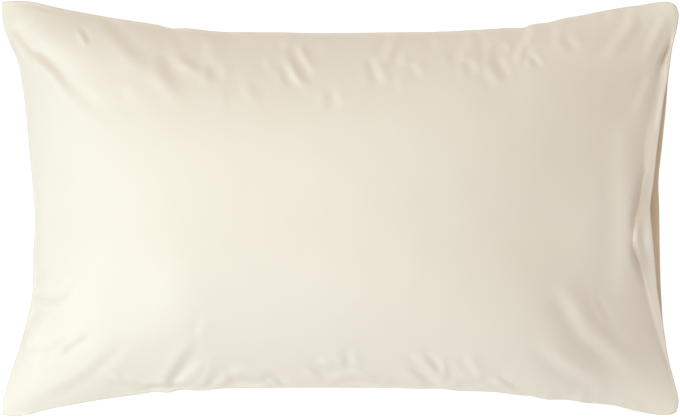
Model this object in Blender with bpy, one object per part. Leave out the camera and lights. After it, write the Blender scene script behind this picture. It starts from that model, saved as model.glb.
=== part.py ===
"""A plain cotton pillowcase on its pillow, lying on its back, with its open end at +X.

The maker cuts two panels, sewn together along three sides. The front panel is the filled upper
body: its crown, its drawn-in sides, its pulled-out corners, its main folds and, past the pillow's
end, its loose lip at the mouth. The back panel is the sheet below it, flat where it lies, and its
own lip reaches a little further out. Between the two lips the mouth is open.

Metres, +Z up. The origin is on the surface that the case lies on, under the middle of its outline.
Both panels are grids: a row runs from the closed end to the mouth, and a column across the case.
"""

import bpy
import numpy as np

# Driving sizes
HALF_LENGTH = 0.3925  # closed end's corners, and the mouth's, from the middle
HALF_WIDTH = 0.2405  # side seams' corner ends, from the middle
CROWN_HEIGHT = 0.162  # top of the filled case
SIDE_SEAM_HEIGHT = 0.060  # the side seams, halfway along
CLOSED_SEAM_HEIGHT = 0.060  # the closed end's seam, halfway along
MOUTH_HEIGHT = 0.020  # the back panel's edge, halfway along the mouth
CORNER_HEIGHT = 0.020  # each corner's tip
CLOTH = 0.002  # thickness of each panel
GAP = 0.0003  # between the two panels
STEEPEST = 0.45  # least upward part of the cloth's facing, for thickness measured straight up

# How the surface rises from each edge: (reach in metres, fullness of the curve)
CROWN_FROM_SIDE = (0.205, 3.0)
CROWN_FROM_CLOSED_END = (0.400, 4.8)
CROWN_FROM_PILLOW_END = (0.410, 2.6)
BELLY_FROM_SIDE = (0.105, 2.3)
BELLY_FROM_CLOSED_END = (0.125, 2.3)
BELLY_FROM_MOUTH = (0.110, 1.7)

# How the seam's height falls from the middle of an edge to the corners
SEAM_FALL_ALONG = 3.0
SEAM_FALL_ACROSS = 2.2

# How far from the pillow's end the front panel still follows the lip
LIP_LEVEL_REACH = 0.160  # its upper face
LIP_LIFT_START = 0.022  # its lower face: where it starts to leave the back panel
LIP_LIFT_LENGTH = 0.018
LIP_FALL = 0.36  # slope of the lip towards the mouth
DROP_HALF_WIDTH = 0.0055  # of the drop behind the lip

# Side seams, from the closed end to the mouth: (place along X, drawn in from the corners' line)
UPPER_SIDE = (
    (-0.3925, 0.0008), (-0.375, 0.0000), (-0.357, 0.0015), (-0.332, 0.0075), (-0.281, 0.0172),
    (-0.231, 0.0255), (-0.198, 0.0315), (-0.143, 0.0350), (-0.034, 0.0375), (0.060, 0.0366),
    (0.137, 0.0345), (0.208, 0.0318), (0.224, 0.0285), (0.260, 0.0208), (0.311, 0.0102),
    (0.345, 0.0050), (0.372, 0.0006), (0.384, 0.0016), (0.390, 0.0050),
)
LOWER_SIDE = (
    (-0.3925, 0.0020), (-0.383, 0.0000), (-0.365, 0.0012), (-0.347, 0.0062), (-0.319, 0.0128),
    (-0.269, 0.0212), (-0.218, 0.0275), (-0.153, 0.0307), (-0.072, 0.0330), (0.000, 0.0331),
    (0.110, 0.0320), (0.163, 0.0282), (0.227, 0.0225), (0.264, 0.0185), (0.311, 0.0130),
    (0.345, 0.0060), (0.372, 0.0020), (0.384, 0.0018), (0.390, 0.0045),
)

# Lines across the case, from the lower side to the upper one: (place along Y, X)
CLOSED_END = (
    (-0.2385, -0.3915), (-0.226, -0.3912), (-0.199, -0.3842), (-0.161, -0.3717), (-0.128, -0.3619),
    (-0.108, -0.3572), (-0.083, -0.3552), (-0.046, -0.3545), (-0.014, -0.3528), (0.030, -0.3562),
    (0.080, -0.3607), (0.141, -0.3675), (0.171, -0.3735), (0.192, -0.3828), (0.214, -0.3902),
    (0.2395, -0.3925),
)
BACK_MOUTH = (
    (-0.236, 0.3902), (-0.226, 0.3923), (-0.203, 0.3879), (-0.170, 0.3800), (-0.140, 0.3752),
    (-0.100, 0.3722), (-0.050, 0.3706), (0.002, 0.3698), (0.030, 0.3690), (0.071, 0.3732),
    (0.118, 0.3779), (0.150, 0.3805), (0.188, 0.3855), (0.214, 0.3912), (0.226, 0.3925),
    (0.2355, 0.3900),
)
# How far the front panel's edge stays short of the back panel's: (place along Y, distance)
FRONT_MOUTH_INSET = (
    (-0.236, 0.0), (-0.170, 0.0), (-0.134, 0.0002), (-0.112, 0.0023), (-0.099, 0.0039),
    (-0.064, 0.0060), (-0.033, 0.0086), (0.002, 0.0106), (0.028, 0.0062), (0.071, 0.0056),
    (0.100, 0.0045), (0.126, 0.0030), (0.152, 0.0003), (0.185, 0.0), (0.2355, 0.0),
)
# The fold where the front panel leaves the pillow's end and its lip starts: (place along Y, X)
PILLOW_END = (
    (-0.236, 0.3800), (-0.210, 0.3810), (-0.190, 0.3800), (-0.176, 0.3760), (-0.153, 0.3700),
    (-0.130, 0.3630), (-0.107, 0.3567), (-0.083, 0.3513), (-0.066, 0.3470), (-0.049, 0.3410),
    (-0.041, 0.3392), (-0.031, 0.3398), (-0.014, 0.3421), (0.009, 0.3470), (0.033, 0.3510),
    (0.056, 0.3516), (0.079, 0.3528), (0.102, 0.3575), (0.125, 0.3625), (0.148, 0.3680),
    (0.172, 0.3725), (0.190, 0.3790), (0.214, 0.3830), (0.2355, 0.3830),
)
# How far the two lips stand apart along the mouth: (place along Y, height)
LIPS_APART = (
    (-0.236, 0.0), (-0.190, 0.0005), (-0.175, 0.0015), (-0.145, 0.0060), (-0.110, 0.0170),
    (-0.060, 0.0310), (0.000, 0.0360), (0.050, 0.0330), (0.100, 0.0260), (0.125, 0.0190),
    (0.150, 0.0120), (0.165, 0.0100), (0.180, 0.0090), (0.192, 0.0060), (0.203, 0.0030),
    (0.214, 0.0010), (0.226, 0.0), (0.2355, 0.0),
)
# The cloth drops behind the lip, and climbs back by less: (place along Y, drop, climb)
DROP = (
    (-0.236, 0.0, 0.0), (-0.190, 0.0006, 0.0001), (-0.153, 0.0011, 0.0004), (-0.107, 0.0015, 0.0007),
    (-0.066, 0.0034, 0.0011), (-0.040, 0.0009, 0.0003), (0.009, 0.0036, 0.0012), (0.033, 0.0036, 0.0010),
    (0.079, 0.0018, 0.0007), (0.125, 0.0010, 0.0010), (0.159, 0.0040, 0.0040), (0.180, 0.0060, 0.0056),
    (0.196, 0.0020, 0.0020), (0.214, 0.0, 0.0), (0.2355, 0.0, 0.0),
)

# Main folds of the front panel. A ridge has a positive height and a trough a negative one.
# (path from the seam inwards, width either side, height, share of the path that it fades over)
FRONT_FOLDS = (
    # from the closed end's upper corner, one long fold with its trough beside it
    (
        ((-0.386, 0.205), (-0.350, 0.166), (-0.322, 0.134), (-0.285, 0.098), (-0.250, 0.068)),
        0.011, 0.0026, 0.5,
    ),
    (
        ((-0.380, 0.214), (-0.340, 0.178), (-0.306, 0.143), (-0.272, 0.108), (-0.236, 0.078)),
        0.011, -0.0030, 0.5,
    ),
    # along the upper side
    (((-0.290, 0.222), (-0.262, 0.198), (-0.222, 0.160), (-0.190, 0.118)), 0.012, 0.0020, 0.6),
    (((-0.240, 0.200), (-0.205, 0.172), (-0.182, 0.140), (-0.160, 0.112)), 0.011, -0.0024, 0.5),
    (((-0.070, 0.186), (-0.056, 0.164), (-0.040, 0.142)), 0.009, 0.0020, 0.6),
    (((-0.056, 0.190), (-0.045, 0.166), (-0.028, 0.146)), 0.009, -0.0028, 0.6),
    (((0.028, 0.186), (0.036, 0.160), (0.046, 0.138)), 0.009, -0.0025, 0.6),
    (((0.222, 0.212), (0.206, 0.182), (0.196, 0.160)), 0.010, 0.0020, 0.6),
    # at the mouth's upper corner
    (((0.338, 0.228), (0.322, 0.198), (0.300, 0.166)), 0.014, 0.0024, 0.5),
    (((0.374, 0.224), (0.358, 0.192), (0.344, 0.162)), 0.011, 0.0022, 0.5),
    # the pillow's end, a soft ridge behind the lip
    (((0.332, 0.100), (0.331, 0.050), (0.332, 0.000), (0.329, -0.060), (0.328, -0.120)), 0.012, 0.0016, 0.3),
    # at the mouth's lower corner, one broad ridge with a trough on each side
    (
        ((0.236, -0.080), (0.272, -0.116), (0.298, -0.150), (0.336, -0.184), (0.362, -0.204)),
        0.015, 0.0042, 0.4,
    ),
    (((0.222, -0.112), (0.252, -0.142), (0.292, -0.176), (0.326, -0.204)), 0.013, -0.0026, 0.4),
    (((0.268, -0.086), (0.296, -0.122), (0.326, -0.156), (0.352, -0.182)), 0.012, -0.0030, 0.4),
    # along the lower side
    (((0.126, -0.204), (0.102, -0.184), (0.078, -0.160)), 0.011, 0.0028, 0.5),
    (((0.112, -0.206), (0.090, -0.192), (0.068, -0.180)), 0.010, -0.0024, 0.5),
    (((-0.206, -0.206), (-0.184, -0.184), (-0.162, -0.150)), 0.012, -0.0034, 0.5),
    (((-0.180, -0.206), (-0.158, -0.188), (-0.140, -0.166)), 0.012, 0.0024, 0.6),
    # from the closed end and its lower corner
    (((-0.362, -0.128), (-0.342, -0.110), (-0.312, -0.096), (-0.296, -0.084)), 0.011, 0.0026, 0.5),
    (((-0.354, -0.098), (-0.334, -0.096), (-0.312, -0.084)), 0.010, -0.0030, 0.5),
    (((-0.372, -0.226), (-0.318, -0.196), (-0.272, -0.156)), 0.016, 0.0028, 0.5),
)
# Folds of the back panel, which leave the middle where it lies untouched
BACK_FOLDS = (
    (((-0.374, 0.216), (-0.344, 0.190), (-0.318, 0.168)), 0.012, 0.0030, 0.5),
    (((-0.372, -0.214), (-0.342, -0.186), (-0.314, -0.166)), 0.012, 0.0035, 0.5),
    (((0.366, 0.208), (0.340, 0.184), (0.318, 0.160)), 0.012, 0.0030, 0.5),
    (((0.366, -0.208), (0.338, -0.182), (0.316, -0.158)), 0.012, 0.0035, 0.5),
)

FOLD_START = 0.3  # how much of a fold there is at the seam
FOLD_GROWTH = 6.0  # how soon the rest of it comes up

# Ends of the lines across the case, from the lower side to the upper one
CLOSED_CORNERS = (-0.2385, 0.2395)
MOUTH_CORNERS = (-0.236, 0.2355)

# Grid: (share of the way, number of steps) from one edge to the next
STEPS_TO_PILLOW_END = ((0.13, 10), (0.22, 9), (0.35, 6), (0.17, 8), (0.13, 13))
STEPS_ACROSS_LIP = 3
STEPS_ACROSS_CASE = ((0.20, 8), (0.60, 10), (0.20, 8))

COTTON_FRONT = (0.86, 0.79, 0.66, 1.0)
COTTON_BACK = (0.80, 0.72, 0.58, 1.0)
COTTON_ROUGHNESS = 0.85


def clear_scene():
    for thing in list(bpy.data.objects):
        bpy.data.objects.remove(thing, do_unlink=True)


def through(rows, at, column=1):
    """A smooth curve through a table's rows, read at the places given."""
    rows = np.array(rows, float)
    place, value = rows[:, 0], rows[:, column]
    slope = np.gradient(value, place)
    at = np.clip(at, place[0], place[-1])
    i = np.clip(np.searchsorted(place, at) - 1, 0, len(place) - 2)
    step = place[i + 1] - place[i]
    t = (at - place[i]) / step
    return (
        value[i] * (1 + 2 * t) * (1 - t) ** 2
        + value[i + 1] * t**2 * (3 - 2 * t)
        + step * slope[i] * t * (1 - t) ** 2
        - step * slope[i + 1] * t**2 * (1 - t)
    )


def rise(distance, shape):
    """How far a surface has come up at a distance from its edge, from 0 to 1."""
    reach, fullness = shape
    return 1 - (1 - np.clip(distance / reach, 0, 1)) ** fullness


def ease(t):
    t = np.clip(t, 0, 1)
    return t * t * (3 - 2 * t)


def shares(steps):
    """Places from 0 to 1 along a run that is split into stretches of even steps."""
    ends = np.cumsum([0.0] + [share for share, _ in steps])
    runs = [np.linspace(a, b, n, endpoint=False) for a, b, (_, n) in zip(ends, ends[1:], steps)]
    return np.concatenate(runs + [[1.0]])


def fold_path(points, samples=24):
    """A smooth path through a fold's points."""
    points = np.array(points, float)
    along = np.linspace(0, len(points) - 1, samples)
    rows = np.arange(len(points))
    return np.stack([through(np.stack([rows, points[:, k]], axis=1), along) for k in (0, 1)], axis=1)


def relief(x, y, folds):
    """Height that the folds add at each place: a soft crest or trough that fades inwards."""
    height = np.zeros_like(x)
    for points, width, crest, fade in folds:
        path = fold_path(points)
        away = np.hypot(x[..., None] - path[:, 0], y[..., None] - path[:, 1])
        t = away.argmin(axis=-1) / (len(path) - 1)
        across = away.min(axis=-1) / width
        height += crest * ease(FOLD_START + FOLD_GROWTH * t) * ease((1 - t) / fade) * np.exp(-(across**2))
    return height


def side_y(x, sign):
    table = UPPER_SIDE if sign > 0 else LOWER_SIDE
    return sign * (HALF_WIDTH - through(table, x))


def plan():
    """The grid seen from above: rows across the case, columns along it, for each panel."""
    across = shares(STEPS_ACROSS_CASE)[:, None]
    nominal = MOUTH_CORNERS[0] + (MOUTH_CORNERS[1] - MOUTH_CORNERS[0]) * across
    closed_x = through(CLOSED_END, CLOSED_CORNERS[0] + (CLOSED_CORNERS[1] - CLOSED_CORNERS[0]) * across)
    pillow_x = through(PILLOW_END, nominal)
    back_x = through(BACK_MOUTH, nominal)
    front_x = back_x - through(FRONT_MOUTH_INSET, nominal)
    along = shares(STEPS_TO_PILLOW_END)[None, :]
    lip = np.linspace(0, 1, STEPS_ACROSS_LIP + 1)[None, 1:]
    body = closed_x + (pillow_x - closed_x) * along
    front = np.hstack([body, pillow_x + (front_x - pillow_x) * lip])
    back = np.hstack([body, pillow_x + (back_x - pillow_x) * lip])
    return [(x, side_y(x, -1) + across * (side_y(x, 1) - side_y(x, -1))) for x in (front, back)]


def seam_height(x, y):
    """Height of the seam all round, carried smoothly across the inside."""
    along = np.clip(1 - np.abs(x / HALF_LENGTH) ** SEAM_FALL_ALONG, 0, 1)
    across = np.clip(1 - np.abs(y / HALF_WIDTH) ** SEAM_FALL_ACROSS, 0, 1)
    towards_mouth = ease((x + HALF_LENGTH) / (2 * HALF_LENGTH))
    ends = CLOSED_SEAM_HEIGHT + (MOUTH_HEIGHT - CLOSED_SEAM_HEIGHT) * towards_mouth
    middle = ends + (SIDE_SEAM_HEIGHT - ends) * along
    return CORNER_HEIGHT + (middle - CORNER_HEIGHT) * (1 - (1 - along) * (1 - across))


def edge_distances(x, y):
    """How far each place is from the side seams, the closed end and the mouth."""
    return (
        y - side_y(x, -1),
        side_y(x, 1) - y,
        x - through(CLOSED_END, y),
        through(BACK_MOUTH, y) - x,
    )


def belly(x, y):
    """Underside of the back panel: flat where it lies, rising to the seams."""
    lower, upper, closed, mouth = edge_distances(x, y)
    down = rise(lower, BELLY_FROM_SIDE) * rise(upper, BELLY_FROM_SIDE)
    down = down * rise(closed, BELLY_FROM_CLOSED_END) * rise(mouth, BELLY_FROM_MOUTH)
    return seam_height(x, y) * (1 - down) + relief(x, y, BACK_FOLDS) * (1 - down)


def straight_up(x, y, z, thickness):
    """How tall a sheet of that thickness stands, measured straight up, where the cloth slopes."""
    across_x, along_x = np.gradient(x)
    across_y, along_y = np.gradient(y)
    across_z, along_z = np.gradient(z)
    normal = np.cross(
        np.stack([along_x, along_y, along_z], axis=-1), np.stack([across_x, across_y, across_z], axis=-1)
    )
    facing = np.abs(normal[..., 2]) / np.linalg.norm(normal, axis=-1)
    return thickness / np.clip(facing, STEEPEST, 1)


def back_layers(x, y):
    """Lower and upper face of the back panel."""
    under = belly(x, y)
    return under, under + straight_up(x, y, under, CLOTH)


def lip_step(past, to_mouth, y):
    """The drop behind the lip, and the lip's lesser climb over half its width."""
    drop = through(DROP, y, 1) * np.exp(-((np.minimum(past, 0) / DROP_HALF_WIDTH) ** 2))
    half_lip = np.maximum((past + to_mouth) / 2, CLOTH)
    return through(DROP, y, 2) * np.clip(past / half_lip, 0, 1) - drop


def front_layers(x, y):
    """Lower and upper face of the front panel, from the closed end to its lip's edge."""
    back_under, back_over = back_layers(x, y)
    seat = back_over + straight_up(x, y, back_under, 2 * GAP)
    lower, upper, closed, to_back_mouth = edge_distances(x, y)
    end = through(PILLOW_END, y) - x
    past = -end
    to_mouth = to_back_mouth - through(FRONT_MOUTH_INSET, y)
    lift = np.maximum(through(LIPS_APART, y), 0) + LIP_FALL * np.minimum(to_mouth, to_mouth + past)
    hem_under = seam_height(through(BACK_MOUTH, y), y) + CLOTH + GAP
    lip_under = np.maximum(hem_under + lift, seat)
    under = seat + (lip_under - seat) * ease((LIP_LIFT_START - end) / LIP_LIFT_LENGTH)
    fullness = rise(lower, CROWN_FROM_SIDE) * rise(upper, CROWN_FROM_SIDE)
    fullness = fullness * rise(closed, CROWN_FROM_CLOSED_END) * rise(end, CROWN_FROM_PILLOW_END)
    near_end = ease(1 - end / LIP_LEVEL_REACH)
    hem_level = (seam_height(x, y) + 2 * CLOTH) * (1 - near_end) + (lip_under + CLOTH) * near_end
    step = lip_step(past, to_mouth, y)
    crown = hem_level + (CROWN_HEIGHT - hem_level) * fullness + relief(x, y, FRONT_FOLDS) + step
    cover = straight_up(x, y, under, CLOTH)
    crown = np.maximum(crown, seat + cover)
    under = np.maximum(np.minimum(under + step, crown - cover), seat)
    return under, np.maximum(crown, under + cover)


def closed_sheet(name, x, y, under, over, colour):
    """One closed mesh from a grid's lower and upper face, with a wall round its edge."""
    rows, columns = x.shape
    count = rows * columns
    vertices = np.concatenate(
        [np.stack([x, y, z], axis=-1).reshape(-1, 3) for z in (under, over)]
    )
    index = np.arange(count).reshape(rows, columns)
    faces = []
    for r in range(rows - 1):
        for c in range(columns - 1):
            a, b, d, e = index[r, c], index[r, c + 1], index[r + 1, c + 1], index[r + 1, c]
            outwards = x[r, c] * y[r, c] > 0  # cut each cell along the folds, which run to the corners
            for i, j, k in ((a, b, d), (a, d, e)) if outwards else ((a, b, e), (b, d, e)):
                faces += [(i + count, j + count, k + count), (k, j, i)]
    rim = np.concatenate([index[0, :-1], index[:-1, -1], index[-1, :0:-1], index[:0:-1, 0]])
    for a, b in zip(rim, np.roll(rim, -1)):
        faces.append((a, b, b + count, a + count))
    mesh = bpy.data.meshes.new(name)
    mesh.from_pydata(vertices.tolist(), [], [tuple(int(i) for i in face) for face in faces])
    mesh.shade_smooth()
    mesh.materials.append(cotton(name + "_cotton", colour))
    thing = bpy.data.objects.new(name, mesh)
    bpy.context.scene.collection.objects.link(thing)
    return thing


def cotton(name, colour):
    material = bpy.data.materials.new(name)
    material.use_nodes = True
    surface = material.node_tree.nodes["Principled BSDF"]
    surface.inputs["Base Color"].default_value = colour
    surface.inputs["Roughness"].default_value = COTTON_ROUGHNESS
    surface.inputs["Metallic"].default_value = 0.0
    return material


def main():
    clear_scene()
    (front_x, front_y), (back_x, back_y) = plan()
    closed_sheet("back_panel", back_x, back_y, *back_layers(back_x, back_y), COTTON_BACK)
    closed_sheet("front_panel", front_x, front_y, *front_layers(front_x, front_y), COTTON_FRONT)


main()
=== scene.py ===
"""How the pillowcase looks: two panels of cream cotton round a full pillow, with its creases and open mouth.

The front cloth is one closed, crowned form on a fine grid: a row of the grid runs from the closed end to
the mouth, and a column across the case. Its creases are flanks: along a path, the cloth falls or rises from
one side to the other. The back cloth is a thin sheet under it.

Tables of shape are in millimetres, and the rest is in metres.
"""

import math

import bpy
import numpy as np
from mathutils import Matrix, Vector


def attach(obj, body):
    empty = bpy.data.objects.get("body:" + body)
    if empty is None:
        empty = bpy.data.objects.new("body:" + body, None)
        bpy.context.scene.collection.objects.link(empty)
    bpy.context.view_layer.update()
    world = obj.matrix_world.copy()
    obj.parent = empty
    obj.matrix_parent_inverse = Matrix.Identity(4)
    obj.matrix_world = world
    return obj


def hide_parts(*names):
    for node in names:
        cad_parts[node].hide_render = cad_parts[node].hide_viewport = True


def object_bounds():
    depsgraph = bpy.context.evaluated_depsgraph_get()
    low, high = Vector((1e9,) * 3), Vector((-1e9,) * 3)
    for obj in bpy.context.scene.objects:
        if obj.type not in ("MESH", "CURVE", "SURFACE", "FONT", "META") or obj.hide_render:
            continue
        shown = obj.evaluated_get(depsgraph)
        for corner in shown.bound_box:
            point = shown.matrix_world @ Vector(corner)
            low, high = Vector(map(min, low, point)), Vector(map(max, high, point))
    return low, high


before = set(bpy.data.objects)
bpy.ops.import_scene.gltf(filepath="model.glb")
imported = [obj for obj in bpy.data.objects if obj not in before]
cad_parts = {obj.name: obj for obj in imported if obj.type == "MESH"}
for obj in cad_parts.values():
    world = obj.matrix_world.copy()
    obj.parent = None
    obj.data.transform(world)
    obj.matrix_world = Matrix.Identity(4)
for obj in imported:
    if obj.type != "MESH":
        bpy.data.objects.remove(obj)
cad_low, cad_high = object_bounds()

MM = 0.001
HALF_LENGTH = (cad_high.x - cad_low.x) / 2
HALF_WIDTH = (cad_high.y - cad_low.y) / 2
CROWN_HEIGHT = cad_high.z
SEED = 7

# ---------------------------------------------------------------- the case's form
# As in its solids, but with thinner cloth and a fuller crown by the closed end
SIDE_SEAM_HEIGHT = 0.060  # the side seams, halfway along
CLOSED_SEAM_HEIGHT = 0.060  # the closed end's seam, halfway along
MOUTH_HEIGHT = 0.020  # the back cloth's edge, halfway along the mouth
CORNER_HEIGHT = 0.020  # each corner's tip
SEAM_CURVE_ALONG, SEAM_CURVE_ACROSS = 3, 2.2  # the higher, the later the seams come down to the corners
CLOTH = 0.0014
GAP = 0.0003  # half of what is left between the two cloths
ROLL = 0.0009  # radius of the turned edge at the seams and the hems
STEEPEST = 0.45  # cosine of the slope past which the cloth grows no thicker straight up

# How the surfaces rise from their edges: (reach, fullness of the curve)
CROWN_FROM_SIDE = (0.205, 3.0)
CROWN_FROM_CLOSED_END = (0.410, 5.6)
CROWN_FROM_PILLOW_END = (0.410, 2.6)
BELLY_FROM_SIDE = (0.105, 2.3)
BELLY_FROM_CLOSED_END = (0.125, 2.3)
BELLY_FROM_MOUTH = (0.110, 1.7)

# The side seams: (place along X, drawn in from the corners' line)
UPPER_SIDE = (
    (-392.5, 0.8), (-375, 0.0), (-357, 1.5), (-332, 7.5), (-281, 17.2), (-231, 25.5), (-198, 31.5),
    (-143, 35.0), (-34, 37.5), (60, 36.6), (137, 34.5), (208, 31.8), (224, 28.5), (260, 20.8),
    (311, 10.2), (345, 5.0), (372, 0.6), (384, 1.6), (390, 5.0),
)
LOWER_SIDE = (
    (-392.5, 2.0), (-383, 0.0), (-365, 1.2), (-347, 6.2), (-319, 12.8), (-269, 21.2), (-218, 27.5),
    (-153, 30.7), (-72, 33.0), (0, 33.1), (110, 32.0), (163, 28.2), (227, 22.5), (264, 18.5), (311, 13.0),
    (345, 6.0), (372, 2.0), (384, 1.8), (390, 4.5),
)
# How far the seams wander outside those lines: (place along X, outwards)
UPPER_WANDER = (
    (-392.5, 0.0), (-330, 0.5), (-290, 0.4), (-262, 0.2), (-240, 0.3), (-225, 0.8), (-208, 0.9),
    (-196, -0.3), (-190, 0.1), (-178, 1.4), (-170, 1.1), (-158, 0.2), (-148, -0.5), (-130, -0.9),
    (-110, -0.3), (-70, 0.4), (-40, 0.0), (60, -0.2), (90, -0.6), (103, -1.1), (115, -0.7), (137, -0.7),
    (148, 0.1), (165, 0.9), (180, 1.7), (188, 2.1), (195, 1.7), (203, 0.8), (210, -0.3), (215, -0.2),
    (221, 1.1), (228, 0.9), (240, -0.4), (260, 0.5), (275, -0.3), (300, -0.4), (330, 0.0), (365, -0.8),
    (385, 0.0),
)
LOWER_WANDER = (
    (-392.5, 0.0), (-345, 0.2), (-305, 0.9), (-275, 0.7), (-240, 0.5), (-226, 0.1), (-215, -0.7),
    (-208, 0.2), (-200, 1.2), (-195, 0.8), (-190, -0.4), (-181, -1.4), (-174, -0.6), (-162, 0.4),
    (-150, -0.1), (-140, -0.8), (-120, -1.0), (-105, -0.5), (-60, -0.2), (0, -0.3), (40, 0.0), (80, 0.6),
    (95, 0.7), (106, -0.1), (120, -0.3), (130, 0.4), (137, 0.6), (150, -0.1), (172, -1.1), (182, -1.2),
    (192, -0.7), (205, -0.1), (220, -0.4), (230, 0.7), (240, 1.7), (246, 1.2), (256, 0.1), (270, -0.4),
    (281, 0.9), (300, 0.1), (325, -0.6), (340, 0.3), (370, 0.6), (385, 0.0),
)
WANDER_REACH = 0.012  # how far into the cloth the wandering is felt

# Lines across the case: (place along Y, place along X)
CLOSED_END = (
    (-238.5, -391.5), (-226, -391.2), (-199, -384.2), (-161, -371.7), (-128, -361.9), (-108, -357.2),
    (-83, -355.2), (-46, -354.5), (-14, -352.8), (30, -356.2), (80, -360.7), (141, -367.5), (171, -373.5),
    (192, -382.8), (214, -390.2), (239.5, -392.5),
)
BACK_MOUTH = (
    (-236, 390.2), (-226, 392.3), (-203, 387.9), (-170, 380.0), (-140, 375.2), (-100, 372.2),
    (-50, 370.6), (2, 369.8), (30, 369.0), (71, 373.2), (118, 377.9), (150, 380.5), (188, 385.5),
    (214, 391.2), (226, 392.5), (235.5, 390.0),
)
# How far the front cloth's mouth lies behind the back cloth's: (place along Y, distance)
FRONT_MOUTH_INSET = (
    (-236, 0.0), (-170, 0.0), (-134, 0.2), (-112, 2.3), (-99, 3.9), (-64, 6.0), (-33, 8.6), (2, 10.6),
    (28, 6.2), (71, 5.6), (100, 4.5), (126, 3.0), (152, 0.3), (185, 0.0), (235.5, 0.0),
)
# Where the lip starts, at the pillow's end: (place along Y, place along X)
PILLOW_END = (
    (-236, 386), (-226, 388), (-210, 386), (-190, 382.5), (-176, 378), (-153, 370), (-130, 363),
    (-107, 356.7), (-95, 354), (-83, 351.3), (-66, 345.6), (-49, 340.0), (-41, 338.4), (-31, 338.9),
    (-14, 340.8), (9, 345.4), (33, 350.2), (45, 351.8), (56, 351.6), (68, 351.8), (79, 352.8),
    (90, 354.6), (102, 357.5), (114, 360), (125, 362.5), (137, 366), (148, 369.2), (159, 370.8),
    (172, 373.2), (180, 376.6), (190, 381.2), (203, 384), (214, 387), (226, 388), (235.5, 386),
)
# The mouth's height, before the drop behind the lip takes some of it: (place along Y, height)
LIPS_APART = (
    (-236, 0), (-190, 0.5), (-175, 1.5), (-145, 6), (-110, 17), (-60, 33), (0, 39), (50, 34), (100, 26),
    (125, 19), (150, 12), (165, 10), (180, 9), (192, 6), (203, 3), (214, 1), (226, 0), (235.5, 0),
)

# ---------------------------------------------------------------- the fold where the lip starts
# The cloth drops behind the lip: (place along Y, drop, how far back it reaches)
VALLEY = (
    (-236, 0.0, 6), (-190, 0.7, 4), (-176, 1.4, 4.2), (-153, 1.1, 4.8), (-130, 1.3, 6), (-107, 1.5, 6),
    (-83, 3.8, 4.0), (-66, 11.5, 3.4), (-49, 7.5, 2.5), (-41, 2.2, 2.1), (-31, 1.0, 2.2), (-14, 8.0, 2.8),
    (9, 12.5, 3.7), (33, 7.6, 5.2), (56, 2.6, 9), (79, 1.8, 9), (102, 0.8, 8), (125, 0.8, 7),
    (140, 1.2, 6), (148, 1.8, 5), (159, 5.0, 3.2), (172, 11.0, 2.3), (182, 10.0, 2.2), (190, 6.0, 2.2),
    (196, 2.0, 2.4), (203, 0.5, 3.0), (214, 0.0, 3.0), (235.5, 0.0, 3.0),
)
# The lip's crest: (place along Y, distance past the drop, climb to it, power of the climb's curve)
LIP_CREST = (
    (-236, 3.0, 0.0, 2.0), (-190, 3.0, 0.1, 2.0), (-176, 4.0, 0.3, 1.8), (-153, 5.0, 0.4, 1.8),
    (-130, 5.0, 0.5, 1.8), (-107, 4.4, 0.7, 1.8), (-83, 2.4, 0.9, 1.8), (-66, 2.0, 2.6, 1.8),
    (-49, 1.3, 1.2, 1.6), (-31, 1.5, 0.3, 1.6), (-14, 1.8, 1.8, 1.6), (9, 1.8, 2.6, 1.8),
    (33, 2.2, 1.5, 1.8), (56, 8.0, 0.5, 1.8), (79, 11.0, 0.7, 1.8), (102, 11.0, 1.2, 2.0),
    (125, 11.0, 1.3, 2.0), (148, 8.6, 1.9, 1.6), (159, 7.0, 4.6, 1.4), (172, 5.2, 10.6, 1.2),
    (182, 4.6, 9.6, 1.2), (190, 4.0, 5.8, 1.2), (196, 4.0, 2.0, 1.3), (203, 3.0, 0.5, 1.5),
    (214, 3.0, 0.0, 1.5), (235.5, 3.0, 0.0, 1.5),
)
DROP_POWER = 1.3  # the bend of the drop's curve
DROP_UNDERNEATH = 0.004  # the underside follows the drop from this far behind the lip's start
LIP_FALL = 0.36  # slope of the lip towards the mouth
LIP_RISES_FROM = 0.022  # the underside leaves the back cloth this far behind the lip's start
LIP_RISE_LENGTH = 0.018  # and over this length it comes up to the lip
# The crown rises from the lip's level at the pillow's end, and from the seams' this far behind it
LEVEL_REACH = 0.16
HEM_WELT, HEM_WELT_WIDTH = 0.00025, 0.0016  # the hem's thicker rim at the mouth
LEAST_CREST_DISTANCE = 0.001  # from the drop to the lip's crest
LEAST_STRIP = 0.0016  # from the lip's crest to the mouth

# The seam shows as a faint line inside the turned edge, with small puckers beside it
SEAM_DEPTH, SEAM_INSET, SEAM_WIDTH = 0.0004, 0.0042, 0.0011
PUCKER_COUNT, PUCKER_WAVELENGTHS, PUCKER_SLOPE = 24, (0.013, 0.034), 0.11
PUCKER_REACH, PUCKER_FADE = 0.011, 0.003  # how far in they reach, and how they fade at the edge itself
# Soft unevenness all over, which fades towards the edges
SWELL_COUNT, SWELL_WAVELENGTHS, SWELL_SLOPE, SWELL_FADE = 40, (0.03, 0.09), 0.012, 0.05

# ---------------------------------------------------------------- creases
LIGHT_SIDE = (-0.94, -0.34)  # the window's side
CREASE_FADE, BACK_CREASE_FADE = 0.007, 0.012  # the distance from an edge over which creases fade
FLANK_REACH = 4  # in half widths, past which next to nothing of a flank is left
# Along its path, a flank's fall varies as a slow wave: its share, and its turn and phase in radians
WOBBLE, WOBBLE_TURN, WOBBLE_PHASE = 0.16, (4, 9), (0, 6.3)
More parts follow.
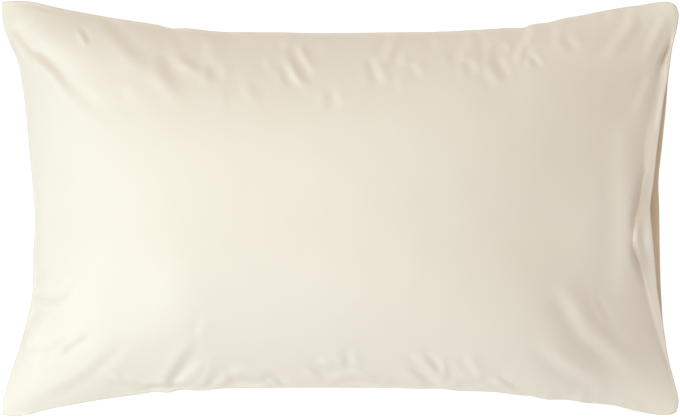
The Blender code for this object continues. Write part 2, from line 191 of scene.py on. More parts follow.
# A flank: (path, half width, fall, fade in, fade out). A positive fall leads down and away from the light
# side, and the fades are shares of the path.
FLANKS = (
    # the closed end's upper corner
    (((-384, 212), (-372, 196), (-358, 180), (-342, 168), (-330, 159), (-320, 146), (-308, 132), (-296, 121),
      (-270, 98), (-240, 70)), 7.8, 9.0, 0.08, 0.60),
    (((-392, 190), (-372, 172), (-352, 158), (-335, 143)), 7.0, -1.2, 0.3, 0.5),
    (((-354, 185), (-342, 175), (-328, 164)), 5.0, 3.6, 0.3, 0.4),
    (((-302, 209), (-296, 199), (-290, 188)), 3.0, 3.8, 0.3, 0.35),
    (((-352, 233), (-340, 229), (-328, 225)), 3.5, 1.2, 0.3, 0.4),
    (((-364, 138), (-356, 135), (-348, 134)), 4.0, 1.0, 0.3, 0.5),
    (((-284, 226), (-262, 204), (-244, 184), (-230, 172), (-205, 142)), 8.0, 4.5, 0.25, 0.5),
    (((-298, 144), (-286, 130), (-274, 116)), 6.0, -1.2, 0.4, 0.5),
    (((-254, 146), (-244, 132), (-234, 118)), 6.0, -1.2, 0.4, 0.5),
    # along the upper side
    (((-198, 199), (-188, 193), (-177, 186)), 6.0, 2.0, 0.3, 0.4),
    (((-211, 184), (-207, 170), (-203, 157), (-194, 144), (-183, 131), (-168, 112)), 8.0, 2.7, 0.3, 0.5),
    (((-228, 164), (-212, 145), (-200, 132), (-186, 114)), 9.0, -1.5, 0.3, 0.5),
    (((-238, 178), (-234, 150), (-226, 128), (-218, 100)), 26.0, -4.0, 0.3, 0.4),
    (((-206, 186), (-192, 170), (-180, 160), (-165, 148)), 6.6, -2.1, 0.3, 0.4),
    (((-192, 182), (-178, 172), (-166, 163), (-157, 156)), 5.4, 2.4, 0.35, 0.35),
    (((-159, 197), (-153, 181), (-151, 163)), 8.0, -3.4, 0.3, 0.4),
    (((-158, 169), (-151, 155), (-147, 140)), 6.0, 3.2, 0.4, 0.4),
    (((-138, 170), (-137, 159), (-137, 146)), 4.5, -1.9, 0.4, 0.4),
    (((-132, 146), (-131, 126), (-131, 108)), 5.0, 0.9, 0.4, 0.5),
    (((-119, 160), (-114, 145), (-110, 126)), 6.0, -1.5, 0.4, 0.4),
    (((-105, 150), (-97, 134), (-84, 116)), 6.5, 1.2, 0.4, 0.5),
    (((-87, 176), (-85, 164), (-82, 152)), 4.5, -1.2, 0.4, 0.4),
    (((-67, 198), (-65, 188), (-62, 178)), 4.5, -1.4, 0.4, 0.4),
    (((-70, 168), (-66, 152), (-59, 138)), 4.6, 1.6, 0.4, 0.4),
    (((-63, 172), (-59, 160), (-54, 149), (-47, 140)), 4.2, -2.6, 0.3, 0.4),
    (((-62, 190), (-57, 175), (-49, 160), (-41, 149), (-28, 140)), 4.3, 3.8, 0.3, 0.35),
    (((-52, 193), (-48, 181), (-43, 170), (-36, 161), (-29, 153)), 4.2, -4.4, 0.25, 0.4),
    (((-43, 188), (-38, 179), (-32, 171)), 3.4, 2.0, 0.35, 0.4),
    (((-24, 196), (-22, 184), (-20, 172)), 5.0, -1.0, 0.4, 0.4),
    (((-19, 146), (-15, 129), (-19, 112)), 5.5, 1.6, 0.4, 0.4),
    (((-6, 138), (-3, 126), (1, 114)), 5.0, -1.1, 0.4, 0.4),
    (((31, 176), (34, 162), (37, 144)), 4.8, 2.2, 0.35, 0.3),
    (((33, 177), (39, 165), (45, 153), (50, 140)), 5.4, -3.2, 0.3, 0.3),
    (((46, 172), (52, 184), (59, 194), (68, 203)), 6.0, -3.6, 0.3, 0.3),
    (((47, 164), (58, 172), (66, 182), (76, 194)), 5.4, 2.7, 0.35, 0.35),
    (((67, 187), (69, 175), (69, 162)), 5.5, -2.5, 0.35, 0.35),
    (((65, 154), (66, 143), (67, 131)), 4.5, -1.0, 0.4, 0.4),
    (((80, 170), (88, 162), (96, 148)), 4.6, -1.7, 0.35, 0.35),
    (((108, 204), (110, 192), (108, 177)), 6.0, -1.3, 0.3, 0.4),
    (((135, 168), (140, 181), (146, 193), (153, 205)), 6.5, -2.6, 0.3, 0.3),
    (((124, 180), (127, 172), (130, 162)), 4.5, 1.1, 0.4, 0.4),
    (((141, 170), (144, 162), (149, 150)), 4.4, 1.4, 0.35, 0.4),
    (((160, 202), (159, 190), (156, 177)), 5.5, 1.4, 0.3, 0.4),
    (((149, 176), (153, 167), (159, 154)), 4.4, -1.7, 0.35, 0.4),
    (((170, 187), (170, 176), (167, 165)), 4.2, -2.2, 0.35, 0.35),
    (((170, 182), (181, 188), (196, 195)), 6.0, 2.6, 0.3, 0.3),
    (((166, 180), (174, 170), (183, 159), (191, 146)), 5.8, 2.4, 0.3, 0.35),
    (((164, 164), (173, 152), (184, 139)), 5.6, -1.3, 0.35, 0.35),
    (((186, 176), (190, 164), (197, 150)), 4.8, -2.2, 0.35, 0.35),
    (((191, 198), (197, 190), (202, 180)), 4.0, 1.8, 0.35, 0.4),
    (((225, 216), (218, 202), (209, 184), (200, 164)), 5.0, -3.2, 0.2, 0.4),
    (((216, 194), (212, 180), (206, 164)), 4.0, 2.8, 0.3, 0.4),
    (((214, 186), (226, 174), (238, 162)), 3.6, -1.6, 0.4, 0.4),
    (((216, 182), (221, 171), (227, 161)), 3.6, 1.6, 0.4, 0.4),
    (((248, 214), (248, 202), (246, 190)), 4.5, -1.4, 0.3, 0.4),
    (((252, 200), (260, 190), (268, 180)), 4.5, 1.6, 0.4, 0.4),
    (((264, 200), (272, 192), (280, 183)), 4.5, -1.3, 0.4, 0.4),
    # the mouth's upper corner
    (((338, 228), (330, 210), (318, 195), (307, 181), (298, 168)), 6.5, -2.0, 0.15, 0.45),
    (((350, 226), (341, 207), (329, 191), (315, 170)), 6.5, 1.8, 0.2, 0.5),
    (((374, 226), (366, 209), (356, 190), (345, 168)), 5.5, -1.8, 0.15, 0.4),
    (((383, 218), (373, 201), (364, 184), (356, 166)), 5.0, 0.7, 0.2, 0.4),
    # the pillow's end, soft ridges behind the lip
    (((327, 108), (323, 79), (322, 40), (324, 5), (325, -20), (323, -50), (321, -83), (320, -120)),
     12.0, -1.6, 0.15, 0.15),
    (((338, 106), (346, 125), (354, 148), (356, 160)), 6.0, -1.7, 0.35, 0.4),
    (((333, 90), (335, 112), (339, 132), (344, 155)), 13.0, -2.0, 0.35, 0.4),
    # the lip's own dip, and its rim turning up
    (((349, -2), (348, -18), (347, -32), (349, -46), (352, -58), (350, -72)), 3.6, 3.8, 0.45, 0.45),
    (((366, 86), (369, 108), (372, 127), (375, 150)), 4.0, -2.6, 0.3, 0.3),
    # the mouth's lower corner
    (((240, -84), (257, -105), (271, -125), (283, -144), (298, -157), (316, -171), (331, -185), (350, -199)),
     8.6, -4.2, 0.25, 0.45),
    (((272, -84), (288, -111), (301, -130), (313, -147), (327, -160), (346, -178)), 6.5, 1.4, 0.25, 0.5),
    (((288, -108), (299, -123), (314, -140)), 3.4, -0.8, 0.3, 0.4),
    (((290, -98), (303, -119), (318, -138)), 4.0, 1.1, 0.3, 0.4),
    (((230, -114), (250, -137), (265, -152), (284, -166), (300, -180), (322, -198)), 7.0, 0.6, 0.3, 0.4),
    (((218, -138), (236, -164), (256, -180), (276, -192), (298, -204), (316, -218)), 8.5, -4.0, 0.4, 0.4),
    # along the lower side
    (((-205, -209), (-194, -192), (-184, -177), (-172, -160), (-166, -144)), 6.5, 4.0, 0.08, 0.45),
    (((-193, -210), (-184, -197), (-172, -186), (-160, -176), (-150, -168)), 5.5, -3.2, 0.12, 0.50),
    (((-232, -206), (-212, -205), (-193, -205), (-172, -203)), 3.6, -5.0, 0.25, 0.25),
    (((-168, -154), (-161, -136), (-156, -116)), 5.5, -1.3, 0.4, 0.5),
    (((-159, -210), (-152, -200), (-146, -188)), 4.5, 2.8, 0.2, 0.35),
    (((-156, -196), (-153, -180), (-151, -164)), 4.5, -1.4, 0.4, 0.4),
    (((-145, -207), (-138, -197), (-132, -187)), 4.5, -2.6, 0.25, 0.4),
    (((-132, -190), (-119, -195), (-103, -198), (-82, -201)), 5.0, -6.5, 0.35, 0.20),
    (((-130, -200), (-110, -204), (-86, -206)), 3.6, 0.8, 0.3, 0.3),
    (((-116, -176), (-100, -182), (-84, -187)), 5.0, 1.8, 0.4, 0.4),
    (((-84, -194), (-74, -199), (-62, -206)), 4.0, 5.0, 0.3, 0.25),
    (((-28, -177), (-14, -184), (2, -189)), 4.6, -4.8, 0.35, 0.35),
    (((-42, -181), (-28, -190), (-13, -198)), 4.4, 3.0, 0.35, 0.35),
    (((-8, -174), (-3, -183), (2, -193)), 4.2, -2.0, 0.4, 0.4),
    (((-2, -160), (3, -172), (8, -183)), 4.5, 1.4, 0.4, 0.4),
    (((12, -160), (14, -172), (18, -184)), 4.2, -2.0, 0.35, 0.35),
    (((-2, -192), (20, -195), (37, -200), (52, -204), (68, -206)), 4.6, -5.0, 0.25, 0.25),
    (((20, -185), (32, -189), (46, -193)), 4.0, 2.0, 0.4, 0.4),
    (((120, -206), (110, -195), (100, -186), (89, -177), (74, -165)), 4.6, -4.4, 0.15, 0.45),
    (((102, -206), (92, -195), (81, -186), (68, -176)), 4.4, 3.0, 0.2, 0.45),
    (((118, -194), (108, -182), (99, -171), (88, -160)), 4.8, 2.6, 0.25, 0.4),
    (((121, -190), (114, -179), (107, -168)), 4.4, -1.9, 0.3, 0.4),
    (((128, -198), (123, -186), (119, -174)), 4.5, 2.3, 0.3, 0.4),
    (((166, -199), (153, -184), (140, -166)), 5.2, -3.4, 0.3, 0.4),
    (((136, -197), (150, -200), (168, -202)), 4.6, -4.6, 0.3, 0.3),
    (((208, -211), (192, -202), (172, -190)), 4.6, 3.0, 0.3, 0.35),
    (((176, -203), (187, -207), (199, -211)), 3.6, -2.6, 0.3, 0.3),
    (((-210, -30), (-212, -80), (-216, -125), (-226, -168)), 34.0, -6.0, 0.35, 0.25),
    # the closed end and its lower corner
    (((-360, -84), (-354, -98), (-342, -106), (-327, -105), (-314, -97), (-305, -84)), 4.5, 6.6, 0.2, 0.35),
    (((-356, -78), (-350, -92), (-340, -99), (-328, -98), (-318, -90), (-311, -79)), 4.5, -3.6, 0.2, 0.35),
    (((-366, -132), (-356, -117), (-344, -107)), 4.5, 2.7, 0.2, 0.5),
    (((-352, -84), (-336, -88), (-320, -82)), 6.0, -2.2, 0.3, 0.4),
    (((-338, 60), (-337, 0), (-338, -50), (-341, -84)), 12.0, 1.8, 0.3, 0.3),
    (((-360, -134), (-340, -120), (-318, -112), (-298, -104)), 6.0, -2.2, 0.3, 0.4),
    (((-348, -134), (-339, -145), (-330, -154)), 5.0, 2.2, 0.3, 0.4),
    (((-366, -162), (-356, -164), (-344, -166)), 5.0, 2.6, 0.3, 0.4),
    (((-347, -132), (-351, -150), (-358, -172)), 8.0, 3.6, 0.3, 0.3),
    (((-348, -170), (-328, -157), (-310, -147)), 5.5, -3.4, 0.3, 0.4),
    (((-328, -170), (-312, -159), (-298, -149), (-284, -141)), 5.5, 4.2, 0.3, 0.4),
    (((-354, -186), (-340, -176), (-326, -167)), 5.5, -1.8, 0.3, 0.4),
    (((-366, -228), (-342, -217), (-316, -205), (-293, -191), (-275, -175), (-258, -158)),
     6.5, 2.8, 0.45, 0.40),
    (((-286, -196), (-268, -182), (-250, -166), (-238, -154)), 6.5, -1.4, 0.3, 0.45),
    (((-272, -195), (-253, -201), (-237, -205), (-220, -209)), 4.2, -4.2, 0.25, 0.25),
    (((-262, -188), (-254, -195), (-247, -204)), 4.0, 1.6, 0.35, 0.35),
)
# The same for the back cloth, one from each corner
BACK_FLANKS = (
    (((-378, 218), (-346, 190), (-316, 166)), 9.0, 4.0, 0.2, 0.5),
    (((-376, -216), (-344, -188), (-312, -164)), 9.0, 4.0, 0.2, 0.5),
    (((370, 210), (342, 186), (316, 160)), 9.0, 4.0, 0.2, 0.5),
    (((370, -210), (340, -184), (314, -158)), 9.0, 4.0, 0.2, 0.5),
)

# Grids: stretches of even steps from one edge to the next, as (share of the way, number of steps)
FRONT_STEPS_ALONG = ((0.012, 7), (0.118, 42), (0.22, 54), (0.35, 84), (0.17, 48), (0.10, 32), (0.03, 20))
FRONT_STEPS_LIP = (12, 12)  # to the lip's crest, and on to the mouth
FRONT_STEPS_ACROSS = ((0.02, 8), (0.18, 42), (0.60, 50), (0.18, 42), (0.02, 8))
BACK_STEPS_ALONG = ((0.13, 34), (0.22, 34), (0.35, 24), (0.17, 34), (0.13, 34))
BACK_STEPS_LIP = (4, 4)
BACK_STEPS_ACROSS = ((0.20, 34), (0.60, 44), (0.20, 34))
CLOSER_AT_CREST = (1.7, 1.6)  # how strongly the lip's steps close up before the crest and past it


def through(rows, at, column=1):
    """A smooth curve through a table's rows, read at the places given: metres in, metres out."""
    rows = np.array(rows, float) * MM
    place, value = rows[:, 0], rows[:, column]
    slope = np.gradient(value, place)
    at = np.clip(at, place[0], place[-1])
    i = np.clip(np.searchsorted(place, at) - 1, 0, len(place) - 2)
    step = place[i + 1] - place[i]
    t = (at - place[i]) / step
    return (
        value[i] * (1 + 2 * t) * (1 - t) ** 2
        + value[i + 1] * t**2 * (3 - 2 * t)
        + step * slope[i] * t * (1 - t) ** 2
        - step * slope[i + 1] * t**2 * (1 - t)
    )


def rise(distance, shape):
    """How far a surface has come up at a distance from its edge, from 0 to 1."""
    reach, fullness = shape
    return 1 - (1 - np.clip(distance / reach, 0, 1)) ** fullness


def ease(t):
    t = np.clip(t, 0, 1)
    return t * t * (3 - 2 * t)


def bump(t):
    return np.exp(-(t**2))


def between(rows, share):
    """Places along a table's first column: share 0 is its first row, and 1 its last."""
    first, last = rows[0][0] * MM, rows[-1][0] * MM
    return first + (last - first) * share


def shares(steps):
    """Places from 0 to 1 along a run that is split into stretches of even steps."""
    ends = np.cumsum([0.0] + [share for share, _ in steps])
    runs = [np.linspace(a, b, n, endpoint=False) for a, b, (_, n) in zip(ends, ends[1:], steps)]
    return np.concatenate(runs + [[1.0]])


def side_y(x, sign):
    """Y of a side's seam: the upper one for sign 1, and the lower one for -1."""
    table = UPPER_SIDE if sign > 0 else LOWER_SIDE
    return sign * (HALF_WIDTH - through(table, x))


def wander(x, y):
    """Y of the grid points, moved with the seams' wandering."""
    outwards = through(UPPER_WANDER, x) * bump((side_y(x, 1) - y) / WANDER_REACH)
    return y + outwards - through(LOWER_WANDER, x) * bump((y - side_y(x, -1)) / WANDER_REACH)


def closing(steps, power):
    """Places after 0 and up to 1, closer together towards 1."""
    return 1 - (1 - np.linspace(0, 1, steps + 1)[None, 1:]) ** power


def plan(steps_along, steps_lip, steps_across, front):
    """A panel's grid seen from above, as x and y: a row runs along the case, and a column across it."""
    across = shares(steps_across)[:, None]
    nominal = between(BACK_MOUTH, across)
    closed_x = through(CLOSED_END, between(CLOSED_END, across))
    pillow_x = through(PILLOW_END, nominal)
    mouth_x = through(BACK_MOUTH, nominal) - (through(FRONT_MOUTH_INSET, nominal) if front else 0)
    crest_x = np.minimum(pillow_x + through(LIP_CREST, nominal), mouth_x - LEAST_STRIP)
    along = shares(steps_along)[None, :]
    to_crest = closing(steps_lip[0], CLOSER_AT_CREST[0])
    to_mouth = 1 - closing(steps_lip[1], CLOSER_AT_CREST[1])[:, ::-1]
    to_mouth = np.hstack([to_mouth[:, 1:], [[1.0]]])
    x = np.hstack([
        closed_x + (pillow_x - closed_x) * along,
        pillow_x + (crest_x - pillow_x) * to_crest,
        crest_x + (mouth_x - crest_x) * to_mouth,
    ])
    y = side_y(x, -1) + across * (side_y(x, 1) - side_y(x, -1))
    return x * (1 - ROLL / HALF_LENGTH), y * (1 - ROLL / HALF_WIDTH)  # the rolled edge makes up for it


def seam_height(x, y):
    """Height of the seams, and between them of the level that the two cloths rise and fall from."""
    along = np.clip(1 - np.abs(x / HALF_LENGTH) ** SEAM_CURVE_ALONG, 0, 1)
    across = np.clip(1 - np.abs(y / HALF_WIDTH) ** SEAM_CURVE_ACROSS, 0, 1)
    towards_mouth = ease((x + HALF_LENGTH) / (2 * HALF_LENGTH))
    ends = CLOSED_SEAM_HEIGHT + (MOUTH_HEIGHT - CLOSED_SEAM_HEIGHT) * towards_mouth
    middle = ends + (SIDE_SEAM_HEIGHT - ends) * along
    return CORNER_HEIGHT + (middle - CORNER_HEIGHT) * (1 - (1 - along) * (1 - across))


def edge_distances(x, y):
    """Distances from the lower side, the upper side, the closed end and the back cloth's mouth."""
    return (
        y - side_y(x, -1),
        side_y(x, 1) - y,
        x - through(CLOSED_END, y),
        through(BACK_MOUTH, y) - x,
    )


def smooth_path(points, samples=48):
    """Points close together on a smooth curve through the given ones."""
    points = np.array(points, float)
    along = np.linspace(0, len(points) - 1, samples)
    rows = np.arange(len(points))
    both = [through(np.stack([rows, points[:, k]], axis=1), along * MM) for k in (0, 1)]
    return np.stack(both, axis=1)


def relief(x, y, flanks):
    """Height that the creases add: a crest and a trough either side of each flank's path."""
    rng = np.random.default_rng(SEED)
    height = np.zeros_like(x)
    for points, width, fall, fade_in, fade_out in flanks:
        path = smooth_path(points)
        width, fall = width * MM, fall * MM
        tangent = np.gradient(path, axis=0)
        length = np.linalg.norm(tangent, axis=1)
        tangent /= length[:, None]
        normal = np.stack([-tangent[:, 1], tangent[:, 0]], axis=1)
        chord = path[-1] - path[0]
        if chord[1] * LIGHT_SIDE[0] - chord[0] * LIGHT_SIDE[1] < 0:
            normal = -normal
        turn = np.linspace(0, rng.uniform(*WOBBLE_TURN), len(path))
        wobble = 1 + WOBBLE * np.sin(turn + rng.uniform(*WOBBLE_PHASE))
        low, high = path.min(axis=0) - FLANK_REACH * width, path.max(axis=0) + FLANK_REACH * width
        near = (x > low[0]) & (x < high[0]) & (y > low[1]) & (y < high[1])
        away_x, away_y = x[near][:, None] - path[:, 0], y[near][:, None] - path[:, 1]
        i = np.hypot(away_x, away_y).argmin(axis=1)
        row = np.arange(len(i))
        dx, dy = away_x[row, i], away_y[row, i]
        side = (dx * normal[i, 0] + dy * normal[i, 1]) / width
        t = (i + (dx * tangent[i, 0] + dy * tangent[i, 1]) / length[i]) / (len(path) - 1)
        strength = ease(t / fade_in) * ease((1 - t) / fade_out) * wobble[i]
        height[near] -= fall / 2 * strength * side * np.exp((1 - side**2) / 2)
    return height


def ripples(x, y, count, wavelengths, slope):
    """Unevenness: many faint waves, each in its own direction."""
    rng = np.random.default_rng(SEED)
    height = np.zeros_like(x)
    for _ in range(count):
        wavelength = rng.uniform(*wavelengths)
        turn, phase = rng.uniform(0, math.tau, 2)
        across = x * math.cos(turn) + y * math.sin(turn)
        height += wavelength * np.sin(math.tau * across / wavelength + phase)
    return height * slope / math.tau / math.sqrt(count / 2)


def belly(x, y):
    """Height of the back cloth's underside, which comes down from the seams to a flat middle."""
    lower, upper, closed, mouth = edge_distances(x, y)
    down = rise(lower, BELLY_FROM_SIDE) * rise(upper, BELLY_FROM_SIDE)
    down = down * rise(closed, BELLY_FROM_CLOSED_END) * rise(mouth, BELLY_FROM_MOUTH)
    nearest = np.minimum(np.minimum(lower, upper), closed)
    folds = relief(x, y, BACK_FLANKS) * (1 - down) * ease(nearest / BACK_CREASE_FADE)
    return seam_height(x, y) * (1 - down) + folds


def straight_up(x, y, z, thickness):
    """A cloth's thickness measured straight up, which is more where the cloth is steep."""
    across_x, along_x = np.gradient(x)
    across_y, along_y = np.gradient(y)
    across_z, along_z = np.gradient(z)
    normal = np.cross(
        np.stack([along_x, along_y, along_z], axis=-1), np.stack([across_x, across_y, across_z], axis=-1)
    )
    facing = np.abs(normal[..., 2]) / np.linalg.norm(normal, axis=-1)
    return thickness / np.clip(facing, STEEPEST, 1)


def back_layers(x, y):
    """The back cloth's lower z and upper z."""
    under = belly(x, y)
    return under, under + straight_up(x, y, under, CLOTH)


def lip_relief(past, mouth, y):
    """The drop behind the lip, the climb out of it to the lip's crest, and the hem's welt."""
    drop, reach = through(VALLEY, y, 1), through(VALLEY, y, 2)
    crest_at = np.maximum(through(LIP_CREST, y, 1), LEAST_CREST_DISTANCE)
    climb, power = through(LIP_CREST, y, 2), through(LIP_CREST, y, 3) / MM
    on_lip = climb * np.clip(past / crest_at, 0, 1) ** power + HEM_WELT * bump(mouth / HEM_WELT_WIDTH)
    behind = np.abs(np.minimum(past, 0) / reach)
    return np.where(past < 0, 0, on_lip) - drop * np.exp(-behind ** DROP_POWER)


def front_layers(x, y):
    """The front cloth's lower z and upper z. It follows the back cloth, and leaves it only at the mouth."""
    under_back, over_back = back_layers(x, y)
    seat = over_back + straight_up(x, y, under_back, 2 * GAP)
    lower, upper, closed, _ = edge_distances(x, y)
    nearest = np.minimum(np.minimum(lower, upper), closed)
    end = through(PILLOW_END, y) - x
    past = -end
    mouth = through(BACK_MOUTH, y) - through(FRONT_MOUTH_INSET, y) - x

    lift = np.maximum(through(LIPS_APART, y), 0) + LIP_FALL * np.minimum(mouth, mouth + past)
    lip_under = np.maximum(seam_height(through(BACK_MOUTH, y), y) + CLOTH + GAP + lift, seat)
    under = seat + (lip_under - seat) * ease((LIP_RISES_FROM - end) / LIP_RISE_LENGTH)

    near_end = ease(1 - end / LEVEL_REACH)
    level = (seam_height(x, y) + 2 * CLOTH) * (1 - near_end) + (lip_under + CLOTH) * near_end
    fullness = rise(lower, CROWN_FROM_SIDE) * rise(upper, CROWN_FROM_SIDE)
    fullness = fullness * rise(closed, CROWN_FROM_CLOSED_END) * rise(end, CROWN_FROM_PILLOW_END)
    crown = level + (CROWN_HEIGHT - level) * fullness
    crown += relief(x, y, FLANKS) * ease(np.minimum(nearest, mouth) / CREASE_FADE)
    crown += ripples(x, y, SWELL_COUNT, SWELL_WAVELENGTHS, SWELL_SLOPE) * ease(nearest / SWELL_FADE)
    puckers = ripples(x, y, PUCKER_COUNT, PUCKER_WAVELENGTHS, PUCKER_SLOPE)
    crown += puckers * np.exp(-nearest / PUCKER_REACH) * ease(nearest / PUCKER_FADE)
    crown -= SEAM_DEPTH * bump((nearest - SEAM_INSET) / SEAM_WIDTH)
    fold = lip_relief(past, mouth, y)
    crown += fold

    cover = straight_up(x, y, under, CLOTH)
    crown = np.maximum(crown, seat + cover)
    under = np.maximum(np.minimum(under + np.where(past > -DROP_UNDERNEATH, fold, 0), crown - cover), seat)
    return under, np.maximum(crown, under + cover)


def cloth_lengths(points):
    """How far along the cloth each grid point is from the grid's middle, along its row and its column."""
    along = np.linalg.norm(np.diff(points, axis=1), axis=2).cumsum(axis=1)
    along = np.hstack([np.zeros((len(points), 1)), along])
    across = np.linalg.norm(np.diff(points, axis=0), axis=2).cumsum(axis=0)
    across = np.vstack([np.zeros((1, points.shape[1])), across])
    row, column = points.shape[0] // 2, points.shape[1] // 2
    return np.stack([along - along[:, column][:, None], across - across[row][None, :]], axis=-1)


def closed_cloth(name, x, y, under, over, materials, painted_shade_face):
    """One closed mesh from a grid's two faces, with a rolled edge all round and the cloth's lengths as UVs.

    The second material is a darker, warmer copy of the cotton that paints in the shade there, and it is on
    the face that is inside the case: "over" or "under".
    """
    rows, columns = x.shape
    count = rows * columns
    lower, upper = (np.stack([x, y, z], axis=-1) for z in (under, over))
    index = np.arange(count).reshape(rows, columns)
    a, b = index[:-1, :-1].ravel(), index[:-1, 1:].ravel()
    d, e = index[1:, 1:].ravel(), index[1:, :-1].ravel()
    rim = np.concatenate([index[0, :-1], index[:-1, -1], index[-1, :0:-1], index[:0:-1, 0]])
    middle = (lower.reshape(-1, 3)[rim] + upper.reshape(-1, 3)[rim]) / 2
    tangent = np.roll(middle, -1, axis=0) - np.roll(middle, 1, axis=0)
    outward = np.stack([tangent[:, 1], -tangent[:, 0]], axis=1)
    middle[:, :2] += ROLL * outward / np.linalg.norm(outward, axis=1)[:, None]
    vertices = np.concatenate([lower.reshape(-1, 3), upper.reshape(-1, 3), middle])
    edge = np.arange(len(rim)) + 2 * count
    faces = np.concatenate([
        np.stack([a, b, d, e], axis=1) + count,
        np.stack([e, d, b, a], axis=1),
        np.stack([rim, np.roll(rim, -1), np.roll(edge, -1), edge], axis=1),
        np.stack([edge, np.roll(edge, -1), np.roll(rim, -1) + count, rim + count], axis=1),
    ])
    mesh = bpy.data.meshes.new(name)
    mesh.from_pydata(vertices.tolist(), [], faces.tolist())
    lengths = cloth_lengths(upper).reshape(-1, 2)
    lengths = np.concatenate([lengths, lengths, lengths[rim]])
    layer = mesh.uv_layers.new(name="cloth")
    layer.data.foreach_set("uv", lengths[faces.ravel()].astype(np.float32).ravel())
    mesh.shade_smooth()
    for material in materials:
        mesh.materials.append(material)
    # painted shade: the faces inside the case take the second, darker and warmer cotton
    inside = np.zeros(len(faces), np.int32)
    inside[:len(a)] = painted_shade_face == "over"
    inside[len(a):2 * len(a)] = painted_shade_face == "under"
    mesh.polygons.foreach_set("material_index", inside)
    thing = bpy.data.objects.new(name, mesh)
    bpy.context.scene.collection.objects.link(thing)
    return thing


# ---------------------------------------------------------------- materials
WEAVE_SCALE = 138.889  # of the wave textures: their bands are 2.26 mm apart
SLUB_SCALES = ((40, 700, 1), (700, 40, 1))  # of the noise that is stretched across the cloth and along it
CREAM = (0.88, 0.815, 0.70)
# painted shade: the cotton made darker and warmer for the faces inside the case, in place of their shade and
# warm bounced light
PAINTED_SHADE_INSIDE = (0.92, 0.79, 0.59)
PAPER = (0.40, 0.40, 0.40)


def nodes_of(name):
    material = bpy.data.materials.new(name)
    material.use_nodes = True
    tree = material.node_tree
    return material, tree, tree.nodes["Principled BSDF"]


def add(tree, kind, inputs=(), **settings):
    node = tree.nodes.new(kind)
    for key, value in settings.items():
        setattr(node, key, value)
    for key, value in dict(inputs).items():
        if isinstance(value, bpy.types.NodeSocket):
            tree.links.new(value, node.inputs[key])
        else:
            node.inputs[key].default_value = value
    return node


def cotton(name, cream):
    """Plain-woven cotton: crossing bands, slubs, a faint unevenness of colour and a soft sheen."""
    material, tree, surface = nodes_of(name)
    place = add(tree, "ShaderNodeUVMap", uv_map="cloth").outputs["UV"]
    waves = [
        add(tree, "ShaderNodeTexWave", {"Vector": place, "Scale": WEAVE_SCALE, "Distortion": 0.0},
            wave_type="BANDS", bands_direction=direction).outputs["Fac"]
        for direction in ("X", "Y")
    ]
    weave = add(tree, "ShaderNodeMath", {0: waves[0], 1: waves[1]}, operation="MULTIPLY").outputs[0]
    slubs = []
    for stretch in SLUB_SCALES:
        scaled = add(tree, "ShaderNodeMapping", {"Vector": place, "Scale": stretch}).outputs["Vector"]
        noise = add(tree, "ShaderNodeTexNoise", {"Vector": scaled, "Scale": 1.0, "Detail": 2.0})
        slubs.append(noise.outputs["Fac"])
    slub = add(tree, "ShaderNodeMath", {0: slubs[0], 1: slubs[1]}, operation="ADD").outputs[0]
    height = add(tree, "ShaderNodeMath", {0: slub, 1: 0.6, 2: weave}, operation="MULTIPLY_ADD").outputs[0]
    cloudy = add(tree, "ShaderNodeTexNoise", {"Vector": place, "Scale": 9.0, "Detail": 3.0}).outputs["Fac"]
    shade = add(tree, "ShaderNodeMath", {0: slub, 1: 0.35, 2: cloudy}, operation="MULTIPLY_ADD").outputs[0]
    ramp = add(tree, "ShaderNodeValToRGB", {"Fac": shade})
    for stop, (position, dim) in zip(ramp.color_ramp.elements, ((0.45, 0.975), (1.0, 1.0))):
        stop.position = position
        stop.color = (*(c * dim for c in cream), 1)
    tree.links.new(ramp.outputs["Color"], surface.inputs["Base Color"])
    relief_node = add(tree, "ShaderNodeBump", {"Height": height, "Strength": 0.25, "Distance": 0.00012})
    tree.links.new(relief_node.outputs["Normal"], surface.inputs["Normal"])
    surface.inputs["Roughness"].default_value = 0.78
    surface.inputs["Specular IOR Level"].default_value = 0.25
    surface.inputs["Sheen Weight"].default_value = 0.12
    surface.inputs["Sheen Roughness"].default_value = 0.45
    return material


def plain(name, colour, roughness):
    material, _, surface = nodes_of(name)
    surface.inputs["Base Color"].default_value = (*colour, 1)
    surface.inputs["Roughness"].default_value = roughness
    surface.inputs["Specular IOR Level"].default_value = 0.1
    surface.inputs["Emission Color"].default_value = (1, 1, 1, 1)
    surface.inputs["Emission Strength"].default_value = PAPER_GLOW
    return material


def faces_of(name):
    """A panel's outer cotton, and a darker, warmer copy of it for the faces inside the case: painted shade,
    with the warm light bounced in the cloth.
    """
    return cotton(name, CREAM), cotton(name + "_inside_painted_shade", PAINTED_SHADE_INSIDE)


# ---------------------------------------------------------------- pieces
def make_front():
    x, y = plan(FRONT_STEPS_ALONG, FRONT_STEPS_LIP, FRONT_STEPS_ACROSS, front=True)
    under, over = front_layers(x, y)
    cloth = closed_cloth("front_cloth", x, wander(x, y), under, over, faces_of("front_cotton"), "under")
    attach(cloth, "root")
    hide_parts("front_panel")


def make_back():
    x, y = plan(BACK_STEPS_ALONG, BACK_STEPS_LIP, BACK_STEPS_ACROSS, front=False)
    under, over = back_layers(x, y)
    cloth = closed_cloth("back_cloth", x, wander(x, y), under, over, faces_of("back_cotton"), "over")
    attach(cloth, "root")
    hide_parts("back_panel")


# ---------------------------------------------------------------- surroundings
CAMERA_DISTANCE = 20.0  # above the corners
FRAME_WIDTH = 0.7885  # what the picture takes in at the corners' height
PICTURE_MIDDLE = (-0.0001, 0.0001)
FLOOR_HALF_WIDTH = 15.0
LAMPS_AIM = (0, 0, 0.08)
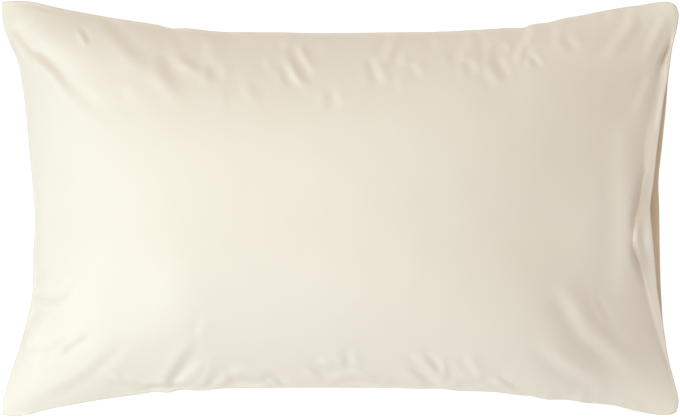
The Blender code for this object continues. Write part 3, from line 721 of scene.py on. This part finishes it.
# (place, width and height, watts, colour). The low one stands in for light off the photo's white surround.
LAMPS = {
    "window": ((-1.55, -0.45, 1.35), (1.3, 1.3), 19.7, (0.757, 0.937, 1.0)),
    "high window": ((-0.9, -0.2, 2.4), (1.2, 1.2), 8.5, (0.757, 0.937, 1.0)),
    "upper side": ((0.1, 1.8, 1.3), (1.2, 1.2), 10.0, (1.0, 0.981, 0.817)),
    "lower side": ((0.1, -1.8, 1.3), (1.2, 1.2), 6.9, (0.96, 0.965, 0.86)),
    "low side": ((0.0, -1.6, 0.13), (1.6, 0.15), 1.2, (0.35, 0.72, 1.0)),
}
ROOM_LIGHT = 0.507
ROOM_COLOUR = (1.0, 0.901, 0.885)
PAPER_GLOW = 0.81


def make_camera():
    lens = bpy.data.cameras.new("camera")
    lens.sensor_width = 36
    lens.lens = lens.sensor_width * CAMERA_DISTANCE / FRAME_WIDTH
    lens.clip_end = 100
    camera = bpy.data.objects.new("camera", lens)
    camera.location = (*PICTURE_MIDDLE, CORNER_HEIGHT + CAMERA_DISTANCE)
    bpy.context.scene.collection.objects.link(camera)
    bpy.context.scene.camera = camera


def area_light(name, place, size, power, colour):
    lamp = bpy.data.lights.new(name, "AREA")
    lamp.shape = "RECTANGLE"
    lamp.size, lamp.size_y = size
    lamp.energy = power
    lamp.color = colour
    thing = bpy.data.objects.new(name, lamp)
    thing.location = place
    thing.rotation_euler = (Vector(LAMPS_AIM) - Vector(place)).to_track_quat("-Z", "Y").to_euler()
    thing.visible_camera = False
    bpy.context.scene.collection.objects.link(thing)


def make_studio():
    for name, lamp in LAMPS.items():
        area_light(name, *lamp)
    world = bpy.data.worlds.new("studio")
    world.use_nodes = True
    world.node_tree.nodes["Background"].inputs["Color"].default_value = (*ROOM_COLOUR, 1)
    world.node_tree.nodes["Background"].inputs["Strength"].default_value = ROOM_LIGHT
    bpy.context.scene.world = world
    bpy.context.scene.view_settings.view_transform = "Standard"


def make_floor():
    half = FLOOR_HALF_WIDTH
    corners = [(-half, -half, 0), (half, -half, 0), (half, half, 0), (-half, half, 0)]
    mesh = bpy.data.meshes.new("floor")
    mesh.from_pydata(corners, [], [(0, 1, 2, 3)])
    mesh.materials.append(plain("paper", PAPER, 0.9))
    floor = bpy.data.objects.new("floor", mesh)
    bpy.context.scene.collection.objects.link(floor)
    floor.visible_diffuse = False  # the case is lit by the lamps and the room alone


make_camera()
make_front()
make_back()
make_studio()
make_floor()
